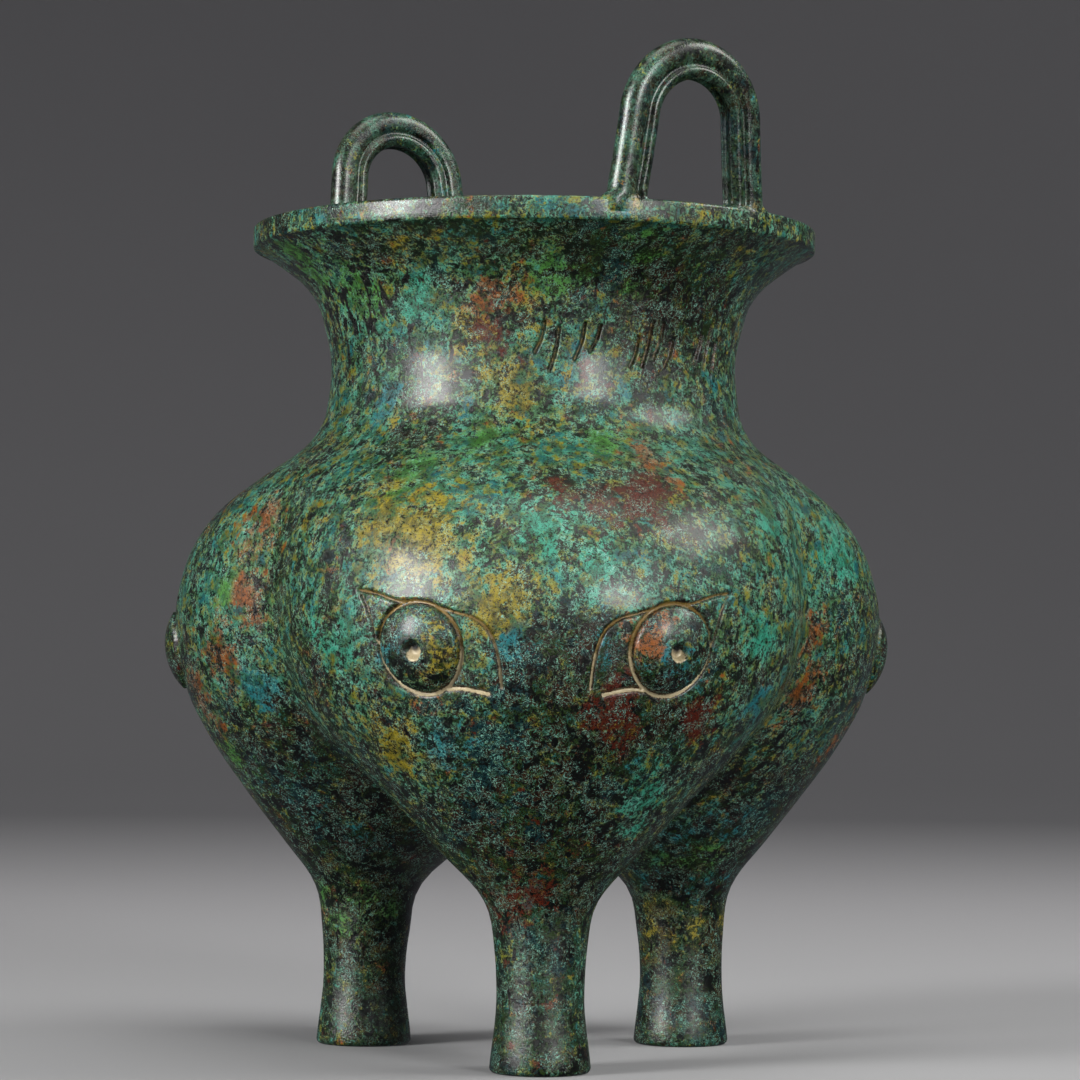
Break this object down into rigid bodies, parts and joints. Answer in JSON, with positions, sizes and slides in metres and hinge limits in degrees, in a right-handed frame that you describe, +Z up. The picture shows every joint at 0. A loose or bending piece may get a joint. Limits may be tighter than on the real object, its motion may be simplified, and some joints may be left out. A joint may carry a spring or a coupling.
{
  "type": "bronze tripod vessel",
  "caption": "Hollow cast bronze vessel: pouched belly with bossed eyes, column legs, flared mouth with a thick lip and upright loop handles on the rim.",
  "frame": {"origin": "middle of the bounding box's base, level with the soles of the feet; the mouth's axis stands 6 mm from it towards +Y", "axes": "+Z up along the mouth's axis, -Y the way one pouch and its leg point, +X and -X towards the handles"},
  "size_m": [0.1478, 0.1376, 0.1951],
  "materials": {
    "bronze": "green and brown patina, waxed"
  },
  "bodies": {
    "root": {"vessel": "bronze"}
  },
  "joints": []
}
